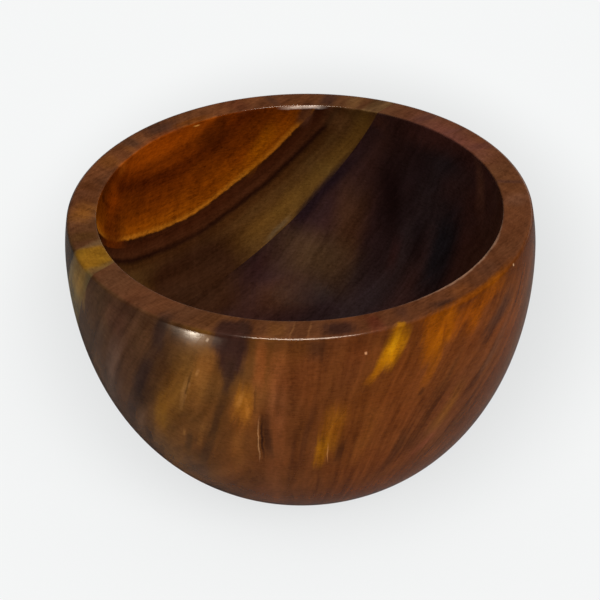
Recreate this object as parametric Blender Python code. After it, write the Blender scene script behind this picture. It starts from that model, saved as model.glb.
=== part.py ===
"""Deep wooden bowl, turned from a blank of parallel glued boards.

Planed boards are glued face to face, the block is set at a tilt in the lathe and turned inside and out.
Each board is a flat slab cut to the turned form, so every glue joint is a leaning plane through the wall.
Units are metres, +Z is up, and the origin is the centre of the flat base.
"""
import math

import bmesh
import bpy
import numpy as np
from mathutils import Matrix, Vector

# Outside of the turned form
HEIGHT = 0.0934
WIDEST_RADIUS = 0.075
WIDEST_DEPTH = 0.0144
RIM_TUCK = 0.0015
BASE_RADIUS = 0.033
RIM_OUTER_ROUND = 0.0014

# Hollow of the turned form
RIM_WALL = 0.0094
BELLY_WALL = 0.0095
HOLLOW_WIDEST_DEPTH = 0.012
FLOOR_THICKNESS = 0.0134
RIM_INNER_ROUND = 0.0008

# Board stack: what turning leaves of its two end boards, the glue gap, and how the stack is set in the lathe
FRONT_BOARD = 0.0215
AMBER_CAP = 0.0060
GLUE_GAP = 0.0003
STACK_TURN = math.radians(136.6)
STACK_TILT = math.radians(28.0)

# Exponents of the belly and of the hollow: 2 and 2 is an ellipse, more is squarer
BELLY_POWERS = (2.504, 2.024)
HOLLOW_POWERS = (2.4, 2.05)

# Facets
AROUND = 72
BELLY_STEPS = 12
HOLLOW_STEPS = 12
SHOULDER_STEPS = 3
ROUND_STEPS = 3
SHARP_ANGLE = math.radians(18.0)
WELD = 0.000001

# Sizes that follow from the above
RIM_RADIUS = WIDEST_RADIUS - RIM_TUCK
MOUTH_RADIUS = RIM_RADIUS - RIM_WALL
HOLLOW_RADIUS = WIDEST_RADIUS - BELLY_WALL
HOLLOW_DEPTH = HEIGHT - FLOOR_THICKNESS
RIM_CENTRE = Vector((0.0, 0.0, HEIGHT))
STACK_AXIS = Vector((
    math.cos(STACK_TURN) * math.cos(STACK_TILT),
    math.sin(STACK_TURN) * math.cos(STACK_TILT),
    math.sin(STACK_TILT),
))

# Boards from the bottom end of the stack to its top end: name, colour and roughness
BOARDS = (
    ("front_board", (0.105, 0.046, 0.022), 0.36),
    ("red_heart_board", (0.125, 0.048, 0.018), 0.34),
    ("golden_heart_board", (0.100, 0.050, 0.020), 0.34),
    ("brown_heart_board", (0.062, 0.035, 0.021), 0.34),
    ("black_heart_board", (0.022, 0.012, 0.011), 0.30),
    ("sapwood_board", (0.110, 0.066, 0.022), 0.36),
    ("amber_board", (0.190, 0.068, 0.012), 0.32),
    ("amber_cap_board", (0.150, 0.058, 0.016), 0.34),
)


def clear_scene():
    """Remove every object that the scene holds."""
    for item in list(bpy.data.objects):
        bpy.data.objects.remove(item, do_unlink=True)


def shoulder(edge_radius, widest_radius, widest_depth, depth):
    """Radius between the rim and the widest line: a parabola that is upright at the widest line."""
    rise = 1.0 - depth / widest_depth
    return widest_radius - (widest_radius - edge_radius) * rise ** 2


def bulge(widest_radius, closing_depth, powers, turn):
    """Radius and depth below the widest line on a rounded square quarter, for angles from 0 to 90 degrees."""
    radius_power, depth_power = powers
    radius = widest_radius * np.maximum(np.cos(turn), 0.0) ** (2.0 / radius_power)
    depth = closing_depth * np.sin(turn) ** (2.0 / depth_power)
    return radius, depth


def outer_wall():
    """Radius and depth of the outside, from the rim's top face down to the edge of the base."""
    corner = np.linspace(0.0, 0.5 * math.pi, ROUND_STEPS + 1)
    round_depth = RIM_OUTER_ROUND * (1.0 - np.cos(corner))
    round_inset = RIM_OUTER_ROUND * (1.0 - np.sin(corner))
    depth = np.linspace(RIM_OUTER_ROUND, WIDEST_DEPTH, SHOULDER_STEPS + 1)[1:]
    upper_depth = np.concatenate((round_depth, depth))
    inset = np.concatenate((round_inset, np.zeros(SHOULDER_STEPS)))
    upper_radius = shoulder(RIM_RADIUS, WIDEST_RADIUS, WIDEST_DEPTH, upper_depth) - inset
    belly_height = HEIGHT - WIDEST_DEPTH
    radius_power, depth_power = BELLY_POWERS
    cut_share = 1.0 - (BASE_RADIUS / WIDEST_RADIUS) ** radius_power
    closing_depth = belly_height / cut_share ** (1.0 / depth_power)
    turn = np.linspace(0.0, math.asin(math.sqrt(cut_share)), BELLY_STEPS + 1)[1:]
    belly_radius, belly_depth = bulge(WIDEST_RADIUS, closing_depth, BELLY_POWERS, turn)
    radius = np.concatenate((upper_radius, belly_radius))
    return radius, np.concatenate((upper_depth, WIDEST_DEPTH + belly_depth))


def inner_wall():
    """Radius and depth of the hollow, from the rim's top face down to the middle of the floor."""
    corner = np.linspace(0.0, 0.5 * math.pi, ROUND_STEPS + 1)
    round_depth = RIM_INNER_ROUND * (1.0 - np.cos(corner))
    round_inset = RIM_INNER_ROUND * (1.0 - np.sin(corner))
    depth = np.linspace(RIM_INNER_ROUND, HOLLOW_WIDEST_DEPTH, SHOULDER_STEPS + 1)[1:]
    upper_depth = np.concatenate((round_depth, depth))
    inset = np.concatenate((round_inset, np.zeros(SHOULDER_STEPS)))
    upper_radius = shoulder(MOUTH_RADIUS, HOLLOW_RADIUS, HOLLOW_WIDEST_DEPTH, upper_depth) + inset
    turn = np.linspace(0.0, 0.5 * math.pi, HOLLOW_STEPS + 1)[1:]
    closing_depth = HOLLOW_DEPTH - HOLLOW_WIDEST_DEPTH
    belly_radius, belly_depth = bulge(HOLLOW_RADIUS, closing_depth, HOLLOW_POWERS, turn)
    radius = np.concatenate((upper_radius, belly_radius))
    return radius, np.concatenate((upper_depth, HOLLOW_WIDEST_DEPTH + belly_depth))


def turned_profile():
    """Half section as radius and height: up the hollow, over the rim, down the outside, across the base."""
    inner_radius, inner_depth = inner_wall()
    outer_radius, outer_depth = outer_wall()
    radius = np.concatenate((inner_radius[::-1], outer_radius, (0.0,)))
    depth = np.concatenate((inner_depth[::-1], outer_depth, (HEIGHT,)))
    return radius, HEIGHT - depth


def turned_form():
    """Spin the half section to the closed form that every board is cut to, as a hidden guide."""
    radius, height = turned_profile()
    form = bmesh.new()
    points = [form.verts.new((r, 0.0, z)) for r, z in zip(radius, height)]
    edges = [form.edges.new(pair) for pair in zip(points, points[1:])]
    bmesh.ops.spin(
        form,
        geom=points + edges,
        cent=(0.0, 0.0, 0.0),
        axis=(0.0, 0.0, 1.0),
        angle=2.0 * math.pi,
        steps=AROUND,
    )
    bmesh.ops.remove_doubles(form, verts=form.verts, dist=WELD)
    bmesh.ops.recalc_face_normals(form, faces=form.faces)
    mesh = bpy.data.meshes.new("turned_form")
    form.to_mesh(mesh)
    form.free()
    mesh.shade_smooth()
    mesh.set_sharp_from_angle(angle=SHARP_ANGLE)
    guide = bpy.data.objects.new("turned_form", mesh)
    bpy.context.collection.objects.link(guide)
    guide.hide_render = True
    guide.display_type = "WIRE"
    return guide


def stack_reach():
    """Lowest and highest point of the turned form along the stack, from the rim's centre."""
    radius, height = turned_profile()
    rise = (height - HEIGHT) * math.sin(STACK_TILT)
    spread = radius * math.cos(STACK_TILT)
    return float(np.min(rise - spread)), float(np.max(rise + spread))


def glue_joints():
    """Places of the joints along the stack: the boards between the two end ones are equally thick."""
    lowest, highest = stack_reach()
    return np.linspace(lowest + FRONT_BOARD, highest - AMBER_CAP, len(BOARDS) - 1)


def wood(name, colour, roughness):
    """Plain lacquered wood of one board."""
    material = bpy.data.materials.new(name)
    material.use_nodes = True
    shader = material.node_tree.nodes["Principled BSDF"]
    shader.inputs["Base Color"].default_value = (*colour, 1.0)
    shader.inputs["Roughness"].default_value = roughness
    shader.inputs["Metallic"].default_value = 0.0
    return material


def board(name, low, high, material, form):
    """Slab between two places along the stack, cut to the turned form."""
    side = 2.0 * (WIDEST_RADIUS + HEIGHT)
    slab = bmesh.new()
    bmesh.ops.create_cube(slab, size=1.0, matrix=Matrix.Diagonal((side, side, high - low, 1.0)))
    mesh = bpy.data.meshes.new(name)
    slab.to_mesh(mesh)
    slab.free()
    mesh.materials.append(material)
    piece = bpy.data.objects.new(name, mesh)
    bpy.context.collection.objects.link(piece)
    piece.location = RIM_CENTRE + STACK_AXIS * (0.5 * (low + high))
    piece.rotation_euler = STACK_AXIS.to_track_quat("Z", "Y").to_euler()
    cut = piece.modifiers.new("turning", "BOOLEAN")
    cut.operation = "INTERSECT"
    cut.solver = "EXACT"
    cut.object = form
    return piece


def build():
    """Glue up the stack and turn it: one object for each board."""
    clear_scene()
    form = turned_form()
    lowest, highest = stack_reach()
    joints = glue_joints()
    waste = WIDEST_RADIUS
    lows = np.concatenate(((lowest - waste,), joints + 0.5 * GLUE_GAP))
    highs = np.concatenate((joints - 0.5 * GLUE_GAP, (highest + waste,)))
    for (name, colour, roughness), low, high in zip(BOARDS, lows, highs):
        board(name, low, high, wood(name, colour, roughness), form)


build()
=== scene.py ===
"""Dressed bowl: turned boards of figured, lacquered wood, the photograph's camera and a soft studio."""
import logging
import math
from dataclasses import dataclass, field
from enum import Enum
from functools import reduce
from typing import Any

import bmesh
import bpy
import numpy as np
from mathutils import Color, Matrix, Vector


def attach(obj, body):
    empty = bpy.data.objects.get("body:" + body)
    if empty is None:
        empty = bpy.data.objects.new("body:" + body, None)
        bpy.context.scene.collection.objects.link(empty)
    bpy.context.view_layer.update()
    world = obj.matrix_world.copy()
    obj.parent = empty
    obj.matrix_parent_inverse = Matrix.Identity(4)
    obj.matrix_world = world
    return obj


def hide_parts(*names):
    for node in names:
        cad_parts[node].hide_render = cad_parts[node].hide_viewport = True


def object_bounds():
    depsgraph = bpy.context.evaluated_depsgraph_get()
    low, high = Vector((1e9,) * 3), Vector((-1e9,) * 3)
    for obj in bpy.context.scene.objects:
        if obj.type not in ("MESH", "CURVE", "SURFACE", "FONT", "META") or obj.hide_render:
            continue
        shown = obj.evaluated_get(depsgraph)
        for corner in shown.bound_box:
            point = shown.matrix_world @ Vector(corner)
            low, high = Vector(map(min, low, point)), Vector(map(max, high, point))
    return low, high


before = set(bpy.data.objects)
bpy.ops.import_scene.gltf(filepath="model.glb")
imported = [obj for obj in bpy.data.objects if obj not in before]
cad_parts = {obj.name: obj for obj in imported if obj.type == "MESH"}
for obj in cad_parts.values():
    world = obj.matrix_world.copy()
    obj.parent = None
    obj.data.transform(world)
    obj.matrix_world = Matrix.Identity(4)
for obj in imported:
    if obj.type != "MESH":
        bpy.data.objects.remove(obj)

CAD_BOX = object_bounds()
LOG = logging.getLogger("bowl")
MILLIMETRE = 0.001
SCREEN_WHITE = 255.0
PATH = "path"

Colour = tuple[int, int, int]
Layers = dict[float, Colour]
Limits = tuple[float, float]
Socket = bpy.types.NodeSocket
Tree = bpy.types.NodeTree


def unit(azimuth: float, elevation: float) -> Vector:
    """Direction with an azimuth from +X towards +Y and an elevation above the horizon, in degrees."""
    turn, rise = math.radians(azimuth), math.radians(elevation)
    return Vector((math.cos(turn) * math.cos(rise), math.sin(turn) * math.cos(rise), math.sin(rise)))


def paint(colour: Colour) -> tuple[float, float, float, float]:
    """Linear colour, with an alpha of one, of a screen colour whose parts go from 0 to 255."""
    screen = Color([part / SCREEN_WHITE for part in colour])
    return (*screen.from_srgb_to_scene_linear(), 1.0)


def put(name: str, data: bpy.types.ID) -> bpy.types.Object:
    """Put an object into the scene, at the origin.

    Args:
        name: Name of the object.
        data: Its mesh, lamp or camera.

    Returns:
        The object.
    """
    item = bpy.data.objects.new(name, data)
    bpy.context.scene.collection.objects.link(item)
    return item


@dataclass
class TurnedForm:
    """Round form of the bowl, inside and outside, in metres below the rim or above the base."""

    height: float
    widest_radius: float
    widest_depth: float = 0.0144
    rim_tuck: float = 0.0015
    base_radius: float = 0.033
    outer_round: float = 0.0014
    rim_wall: float = 0.0094
    belly_wall: float = 0.0095
    hollow_widest_depth: float = 0.012
    floor_thickness: float = 0.0134
    inner_round: float = 0.0008
    belly_powers: tuple[float, float] = (2.504, 2.024)
    hollow_powers: tuple[float, float] = (2.4, 2.05)
    around: int = 640
    wall_steps: int = 120
    shoulder_steps: int = 14
    round_steps: int = 10
    flat_steps: int = 12

    def rim_centre(self) -> Vector:
        """Centre of the rim, which the stack, the lamps and the camera are placed from."""
        return Vector((0.0, 0.0, self.height))

    def rim_edge(self, round_size: float) -> tuple[np.ndarray, np.ndarray]:
        """Depth below the rim and inset from the wall, along the quarter circle of a rim edge."""
        turn = np.linspace(0.0, 0.5 * math.pi, self.round_steps + 1)
        return round_size * (1.0 - np.cos(turn)), round_size * (1.0 - np.sin(turn))

    def wall(self, edge_radius: float, widest_radius: float, widest_depth: float, round_size: float,
             closing: float, powers: tuple[float, float], last_turn: float, side: float) -> np.ndarray:
        """One wall from the rim down: rim edge, parabola to the widest line, then a rounded square quarter.

        On the quarter the radius is widest * cos(t)^(2/a) and the depth is closing * sin(t)^(2/b).
        The path is the depth, less the inset on the rim edge.

        Args:
            edge_radius: Radius of the wall at the rim, before its edge is rounded.
            widest_radius: Radius at the widest line.
            widest_depth: Depth of the widest line below the rim.
            round_size: Radius of the rim edge.
            closing: Depth below the widest line at which the quarter would close.
            powers: The two powers a and b.
            last_turn: Last value of t.
            side: 1 where the rim edge lies outside its wall, as in the hollow, and -1 on the outside.

        Returns:
            Rows of radius, depth and path.
        """
        edge_depth, inset = self.rim_edge(round_size)
        shoulder = np.linspace(round_size, widest_depth, self.shoulder_steps + 1)[1:]
        depth = np.concatenate((edge_depth, shoulder))
        inset = np.concatenate((inset, np.zeros_like(shoulder)))
        rise = 1.0 - depth / widest_depth
        upper = widest_radius - (widest_radius - edge_radius) * rise ** 2 + side * inset
        turn = np.linspace(0.0, last_turn, self.wall_steps + 1)[1:]
        radius = widest_radius * np.maximum(np.cos(turn), 0.0) ** (2.0 / powers[0])
        below = widest_depth + closing * np.sin(turn) ** (2.0 / powers[1])
        return np.column_stack((np.concatenate((upper, radius)), np.concatenate((depth, below)),
                                np.concatenate((depth - inset, below))))

    def section(self) -> np.ndarray:
        """Half section: up the hollow, over the rim, down the outside and across the base.

        The path is zero at the outer rim edge, the depth on the outside, and negative on the rim and in
        the hollow.

        Returns:
            Rows of radius, height and path.
        """
        rim_radius = self.widest_radius - self.rim_tuck
        hollow = self.wall(rim_radius - self.rim_wall, self.widest_radius - self.belly_wall,
                           self.hollow_widest_depth, self.inner_round,
                           self.height - self.floor_thickness - self.hollow_widest_depth,
                           self.hollow_powers, 0.5 * math.pi, 1.0)
        hollow[:, 2] = -self.rim_wall - hollow[:, 2]
        cut = 1.0 - (self.base_radius / self.widest_radius) ** self.belly_powers[0]
        closing = (self.height - self.widest_depth) / cut ** (1.0 / self.belly_powers[1])
        outside = self.wall(rim_radius, self.widest_radius, self.widest_depth, self.outer_round, closing,
                            self.belly_powers, math.asin(math.sqrt(cut)), -1.0)
        land = np.linspace(hollow[0], outside[0], self.flat_steps + 1)[1:-1]
        base = np.linspace((self.base_radius, self.height, self.height),
                           (0.0, self.height, self.height + self.base_radius), self.flat_steps + 1)[1:]
        rows = np.concatenate((hollow[::-1], land, outside, base))
        return np.column_stack((rows[:, 0], self.height - rows[:, 1], rows[:, 2]))

    def surface(self) -> tuple[np.ndarray, np.ndarray, np.ndarray]:
        """Grid of the turned surface: the half section carried round the axis.

        Returns:
            Points as rows of x, y and z, the path of each point, and quads as rows of four point numbers
            that face outwards.
        """
        section = self.section()
        turn = np.linspace(0.0, 2.0 * math.pi, self.around, endpoint=False)
        points = np.empty((len(section), self.around, 3))
        points[..., 0] = section[:, :1] * np.cos(turn)
        points[..., 1] = section[:, :1] * np.sin(turn)
        points[..., 2] = section[:, 1:2]
        path = np.repeat(section[:, 2], self.around)
        row, column = np.meshgrid(np.arange(len(section) - 1), np.arange(self.around), indexing="ij")
        after = (column + 1) % self.around
        corners = ((row, column), (row + 1, column), (row + 1, after), (row, after))
        quads = np.stack([r * self.around + c for r, c in corners], axis=-1)
        return points.reshape(-1, 3), path, quads.reshape(-1, 4)


class Side(Enum):
    """Part of the turned surface that a mark lies on."""

    OUTSIDE = "outside"
    RIM = "rim"
    HOLLOW = "hollow"


@dataclass(frozen=True)
class Mark:
    """Long or round spot of colour, in degrees and millimetres. Most are wood figure; a few are painted
    highlights and sheens.

    A mark on the outside or in the hollow is placed by its depth below the rim, and one on the rim by its
    distance in from the outer edge. A positive lean carries its lower or outer end to a smaller azimuth.
    The core is the share of the mark that has its full strength, and the fray breaks up the rest. A mark
    that names boards lies on those alone.
    """

    name: str
    azimuth: float
    depth: float
    half_width: float
    half_length: float
    lean: float
    colour: Colour
    strength: float = 0.8
    core: float = 0.2
    fray: float = 0.5
    boards: tuple[str, ...] = ()


FigureAndPaintedLight = dict[Side, tuple[Mark, ...]]


@dataclass(frozen=True)
class Wood:
    """Colours of a board by their place along the stack, in millimetres from the rim's centre.

    The flow is the azimuth and elevation that the layers are stacked along, and the bend is how much they
    sway. The rim share is how much the rim takes its own colour, and the contrast is that of the grain.
    """

    outside: Layers
    hollow: Layers
    flow: tuple[float, float]
    bend: float
    rim_share: float
    contrast: float
    rim: Colour = (93, 54, 32)


@dataclass(frozen=True)
class Texture:
    """Noise in the wood: its scale per millimetre along three directions, and its share of the result."""

    scale: tuple[float, float, float]
    share: float
    detail: float = 2.0
    roughness: float = 0.5


class Sheet:
    """One node tree under construction."""

    def __init__(self, tree: Tree) -> None:
        """Keep the tree."""
        self.tree = tree

    def fill(self, node: bpy.types.Node, inputs: dict[int | str, Any]) -> None:
        """Link or set the inputs of a node.

        Args:
            node: The node.
            inputs: Value or linked output for each input, by name or number.
        """
        for name, value in inputs.items():
            if isinstance(value, Socket):
                self.tree.links.new(value, node.inputs[name])
            else:
                node.inputs[name].default_value = value

    def add(self, kind: str, inputs: dict[int | str, Any], **settings: Any) -> bpy.types.Node:
        """Add a node, with its settings and its inputs.

        Args:
            kind: Node type.
            inputs: Value or linked output for each input, by name or number.
            settings: Properties of the node.

        Returns:
            The node.
        """
        node = self.tree.nodes.new(kind)
        for name, value in settings.items():
            setattr(node, name, value)
        self.fill(node, inputs)
        return node

    def use(self, tree: Tree, label: str, **inputs: Any) -> Any:
        """Outputs of a node group that is placed here, with its inputs linked or set by name."""
        return self.add("ShaderNodeGroup", inputs, node_tree=tree, label=label).outputs

    def math(self, operation: str, first: Any, second: Any = 0.0, clamp: bool = False) -> Socket:
        """Output of a Math node."""
        node = self.add("ShaderNodeMath", {0: first, 1: second}, operation=operation, use_clamp=clamp)
        return node.outputs[0]

    def total(self, *parts: Any) -> Socket:
        """Sum of two or more values."""
        return reduce(lambda first, second: self.math("ADD", first, second), parts)

    def product(self, *parts: Any) -> Socket:
        """Product of two or more values."""
        return reduce(lambda first, second: self.math("MULTIPLY", first, second), parts)

    def vector(self, operation: str, first: Any, second: Any) -> Socket:
        """Vector output of a Vector Math node."""
        return self.add("ShaderNodeVectorMath", {0: first, 1: second}, operation=operation).outputs[0]

    def dot(self, first: Any, second: Any) -> Socket:
        """Dot product of two vectors."""
        node = self.add("ShaderNodeVectorMath", {0: first, 1: second}, operation="DOT_PRODUCT")
        return node.outputs["Value"]

    def millimetres(self, place: Any) -> Socket:
        """Place in millimetres, of one in metres."""
        return self.vector("MULTIPLY", place, (1.0 / MILLIMETRE,) * 3)

    def length(self, vector: Any) -> Socket:
        """Length of a vector."""
        return self.add("ShaderNodeVectorMath", {0: vector}, operation="LENGTH").outputs["Value"]

    def join(self, *parts: Any) -> Socket:
        """Vector of up to three values."""
        return self.add("ShaderNodeCombineXYZ", dict(enumerate(parts))).outputs[0]

    def smooth(self, value: Any, limits: tuple[Any, Any], first: Any = 0.0, last: Any = 1.0) -> Socket:
        """Smooth step of a value: a first level up to one limit, and a last level from another limit on."""
        return self.add("ShaderNodeMapRange", {0: value, 1: limits[0], 2: limits[1], 3: first, 4: last},
                        interpolation_type="SMOOTHSTEP").outputs[0]

    def blend(self, share: Any, first: Any, last: Any) -> Socket:
        """Smooth step from a first to a last level, as a share goes from 0 to 1."""
        return self.smooth(share, (0.0, 1.0), first, last)

    def mix(self, share: Any, first: Any, second: Any, way: str = "MIX") -> Socket:
        """Mix of two colours, which are inputs 6 and 7 and output 2 of a Mix node."""
        node = self.add("ShaderNodeMix", {0: share, 6: first, 7: second}, data_type="RGBA", blend_type=way)
        return node.outputs[2]

    def noise(self, vector: Any, texture: Texture) -> Socket:
        """Noise from 0 to 1 of a texture."""
        scaled = self.vector("MULTIPLY", vector, texture.scale)
        return self.add("ShaderNodeTexNoise", {"Vector": scaled, "Scale": 1.0, "Detail": texture.detail,
                                               "Roughness": texture.roughness}).outputs[0]

    def texture(self, vector: Any, texture: Texture) -> Socket:
        """Noise of a texture about zero, times its share."""
        return self.product(self.math("SUBTRACT", self.noise(vector, texture), 0.5), texture.share)

    def ramp(self, place: Socket, layers: Layers) -> Socket:
        """Colour along the stack.

        Args:
            place: Place along the stack, in millimetres.
            layers: Colours in the order of their places.

        Returns:
            The colour output.
        """
        first, last = min(layers), max(layers)
        share = self.add("ShaderNodeMapRange", {0: place, 1: first, 2: last}).outputs[0]
        node = self.add("ShaderNodeValToRGB", {0: share})
        node.color_ramp.interpolation = "EASE"
        stops = node.color_ramp.elements
        while len(stops) < len(layers):
            stops.new(0.5)
        for stop, (layer, colour) in zip(stops, layers.items()):
            stop.position = (layer - first) / (last - first)
            stop.color = paint(colour)
        return node.outputs[0]


def group(name: str, inputs: dict[str, str], outputs: dict[str, str]) -> tuple[Sheet, Any, bpy.types.Node]:
    """Start a shader node group.

    Args:
        name: Name of the group.
        inputs: Names of the inputs of each socket type, with spaces between them.
        outputs: Names of the outputs of each socket type.

    Returns:
        The sheet of the group, its inputs as outputs to link from, and its output node.
    """
    tree = bpy.data.node_groups.new(name, "ShaderNodeTree")
    for way, sockets in (("INPUT", inputs), ("OUTPUT", outputs)):
        for kind, labels in sockets.items():
            for label in labels.split():
                tree.interface.new_socket(label, in_out=way, socket_type=f"NodeSocket{kind}")
    sheet = Sheet(tree)
    return sheet, sheet.add("NodeGroupInput", {}).outputs, sheet.add("NodeGroupOutput", {})


@dataclass
class WoodNodes:
    """Node groups that every board's material shares. Their lengths are in millimetres.

    Layer lines follow the stack. Streaks, bands and daubs follow the chart of the surface: they are the most
    upright at one azimuth, and lean more to its left and right.
    """

    form: TurnedForm
    turn: float
    tilt: float
    sway: Texture = Texture((0.022, 0.022, 0.022), 14.0, 1.0)
    wave: Texture = Texture((0.12, 0.05, 0.12), 5.0, 3.0, 0.6)
    teeth: Texture = Texture((0.6, 0.6, 0.6), 0.7)
    wander: Texture = Texture((0.06, 0.06, 0.06), 2.4)
    jag: Texture = Texture((0.42, 0.42, 0.42), 0.7, 2.0, 0.6)
    second_noise: tuple[float, float, float] = (100.0, 0.0, 0.0)
    streak: Texture = Texture((1.0, 0.09, 1.0), 1.0, 3.0, 0.6)
    streak_share: float = 0.2
    band: Texture = Texture((0.2, 0.018, 1.0), 1.1, 2.0, 0.55)
    daub: Texture = Texture((0.36, 0.075, 1.0), 0.75, 2.0, 0.5)
    upright: float = -92.0
    lean_least: float = 0.12
    lean_left: float = 0.008
    lean_right: float = 0.015
    lean_reach: float = 60.0
    stroke: Texture = Texture((0.3, 1.9, 1.0), 1.0, 2.0, 0.6)
    stroke_share: float = 0.55
    broad: Texture = Texture((0.16, 0.005, 0.008), 0.7, 2.0, 0.55)
    lines: Texture = Texture((0.75, 0.022, 0.037), 0.9, 3.0, 0.6)
    fibre: Texture = Texture((1.5, 0.2, 1.5), 0.7, 3.0, 0.6)
    outside_calm: float = 0.82
    mottle: Texture = Texture((0.1, 0.1, 0.1), 0.5, 3.0, 0.6)
    grit: Texture = Texture((0.9, 0.9, 0.9), 0.5, 2.0, 0.6)
    hue: Texture = Texture((0.07, 0.04, 0.07), 0.3)
    fleck: Texture = Texture((2.4, 0.4, 2.4), 1.0, 1.0)
    fleck_limits: Limits = (0.66, 0.76)
    fleck_dark: float = 0.7
    glint: Texture = Texture((1.7, 0.5, 1.7), 1.0, 1.0)
    glint_limits: Limits = (0.7, 0.8)
    glint_pale: float = 1.25
    least_light: float = 0.36
    green_power: float = 1.12
    blue_power: float = 1.25
    rough_share: float = 0.2
    gloss_share: float = 0.6
    arc: float = field(init=False)
    layers: Tree = field(init=False)
    chart: Tree = field(init=False)
    mark: Tree = field(init=False)
    grain: Tree = field(init=False)

    def __post_init__(self) -> None:
        """Take the radius that arcs are measured at, and build the groups."""
        self.arc = self.form.widest_radius / MILLIMETRE
        self.layers = self.layer_group()
        self.chart = self.chart_group()
        self.mark = self.mark_group()
        self.grain = self.grain_group()

    def layer_group(self) -> Tree:
        """Space of the stack: place along it, along the fibres and across, plain and gently bent.

        Returns:
            The node group.
        """
        sheet, given, out = group("stack space", {"Vector": "Object Flow", "Float": "Bend"},
                                  {"Vector": "Wood", "Float": "Place"})
        fibre, axis = unit(self.turn - 90.0, 0.0), unit(self.turn, self.tilt)
        place = sheet.millimetres(sheet.vector("SUBTRACT", given["Object"], self.form.rim_centre()))
        wood = sheet.join(*[sheet.dot(place, way) for way in (axis, fibre, axis.cross(fibre))])
        sway = sheet.total(sheet.texture(place, self.sway), sheet.texture(wood, self.wave))
        flow = sheet.total(sheet.dot(place, given["Flow"]), sheet.product(sway, given["Bend"]))
        sheet.fill(out, {"Wood": wood, "Place": sheet.total(flow, sheet.texture(place, self.teeth))})
        return sheet.tree

    def chart_group(self) -> Tree:
        """Flat chart of the surface: arc from the board's side of the stack and path across the section.

        Returns:
            The node group.
        """
        sheet, given, out = group("chart", {"Vector": "Object Facing Across", "Float": "Path Upright"},
                                  {"Vector": "Chart", "Float": "Streak Band Stroke"})
        angle = sheet.math("ARCTAN2", sheet.dot(given["Object"], given["Across"]),
                           sheet.dot(given["Object"], given["Facing"]))
        arc = sheet.product(angle, self.arc)
        path = sheet.product(given["Path"], 1.0 / MILLIMETRE)
        away = sheet.math("SUBTRACT", arc, given["Upright"])
        right = sheet.smooth(away, (0.0, self.lean_reach), 0.0, self.lean_right * self.lean_reach)
        left = sheet.smooth(away, (0.0, -self.lean_reach), 0.0, self.lean_left * self.lean_reach)
        slant = sheet.join(sheet.product(path, sheet.total(right, left, self.lean_least)))
        place = sheet.millimetres(given["Object"])
        other = sheet.vector("ADD", place, self.second_noise)
        shifts = [sheet.join(sheet.texture(place, texture), sheet.texture(other, texture))
                  for texture in (self.wander, self.jag)]
        chart = sheet.vector("ADD", sheet.join(arc, path), sheet.vector("ADD", *shifts))
        leaning = sheet.vector("ADD", chart, slant)
        band = sheet.total(sheet.texture(leaning, self.band), sheet.texture(leaning, self.daub))
        sheet.fill(out, {"Chart": chart, "Streak": sheet.texture(leaning, self.streak), "Band": band,
                         "Stroke": sheet.texture(chart, self.stroke)})
        return sheet.tree

    def mark_group(self) -> Tree:
        """One mark: a squared ellipse on the chart, full inside its core and fading to a frayed edge.

        Returns:
            The node group.
        """
        sheet, given, out = group("mark", {"Color": "Base Colour", "Vector": "Chart Place Turn Size",
                                           "Float": "Streak Strength Core Fray"}, {"Color": "Colour"})
        local = sheet.add("ShaderNodeMapping", {"Vector": given["Chart"], "Location": given["Place"],
                                                "Rotation": given["Turn"], "Scale": given["Size"]},
                          vector_type="TEXTURE").outputs[0]
        away = sheet.math("SQRT", sheet.length(sheet.vector("MULTIPLY", local, local)))
        frayed = sheet.total(away, sheet.product(given["Streak"], given["Fray"]))
        share = sheet.smooth(frayed, (given["Core"], 1.0), given["Strength"], 0.0)
        sheet.fill(out, {"Colour": sheet.mix(share, given["Base"], given["Colour"])})
        return sheet.tree

    def grain_group(self) -> Tree:
        """Layer lines, fibres, streaks, turning strokes, dark and pale flecks and mottling of the wood.

        Darker places are also a little redder, because green and blue fall off faster.

        Returns:
            The node group.
        """
        sheet, given, out = group("grain", {"Vector": "Wood", "Color": "Colour",
                                            "Float": "Place Streak Band Stroke Contrast Turned Shade"},
                                  {"Color": "Colour", "Float": "Height Roughness Gloss"})
        wood, stroke = given["Wood"], given["Stroke"]
        _, along, across = sheet.add("ShaderNodeSeparateXYZ", {0: wood}).outputs
        bent = sheet.join(given["Place"], along, across)
        fibre, mottle = sheet.texture(wood, self.fibre), sheet.texture(wood, self.mottle)
        leaning = sheet.total(sheet.product(given["Streak"], self.streak_share), given["Band"])
        stacked = sheet.total(sheet.texture(bent, self.broad), sheet.texture(bent, self.lines), fibre)
        calm = sheet.blend(given["Turned"], 1.0, 1.0 - self.outside_calm)
        light = sheet.total(sheet.product(stacked, calm), mottle, sheet.texture(wood, self.grit),
                            sheet.product(leaning, given["Turned"]),
                            sheet.product(stroke, self.stroke_share))
        light = sheet.total(sheet.product(light, given["Contrast"]), 1.0)
        dark = sheet.smooth(sheet.noise(wood, self.fleck), self.fleck_limits, 1.0, self.fleck_dark)
        pale = sheet.smooth(sheet.noise(wood, self.glint), self.glint_limits, 1.0, self.glint_pale)
        gain = sheet.math("MAXIMUM", sheet.product(light, dark, pale), self.least_light)
        # Painted shade, given by the material, darkens the wood here.
        gain = sheet.product(gain, given["Shade"])
        hue = sheet.texture(wood, self.hue)
        green = sheet.product(sheet.math("POWER", gain, self.green_power), sheet.total(hue, 1.0))
        blue = sheet.product(sheet.math("POWER", gain, self.blue_power), sheet.total(hue, hue, 1.0))
        tint = sheet.join(gain, green, blue)
        rough = sheet.product(sheet.math("SUBTRACT", mottle, fibre), self.rough_share)
        gloss = sheet.product(sheet.total(fibre, stroke), self.gloss_share)
        sheet.fill(out, {"Colour": sheet.mix(1.0, given["Colour"], tint, "MULTIPLY"), "Roughness": rough,
                         "Height": sheet.total(fibre, dark), "Gloss": sheet.total(gloss, 1.0)})
        return sheet.tree


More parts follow.
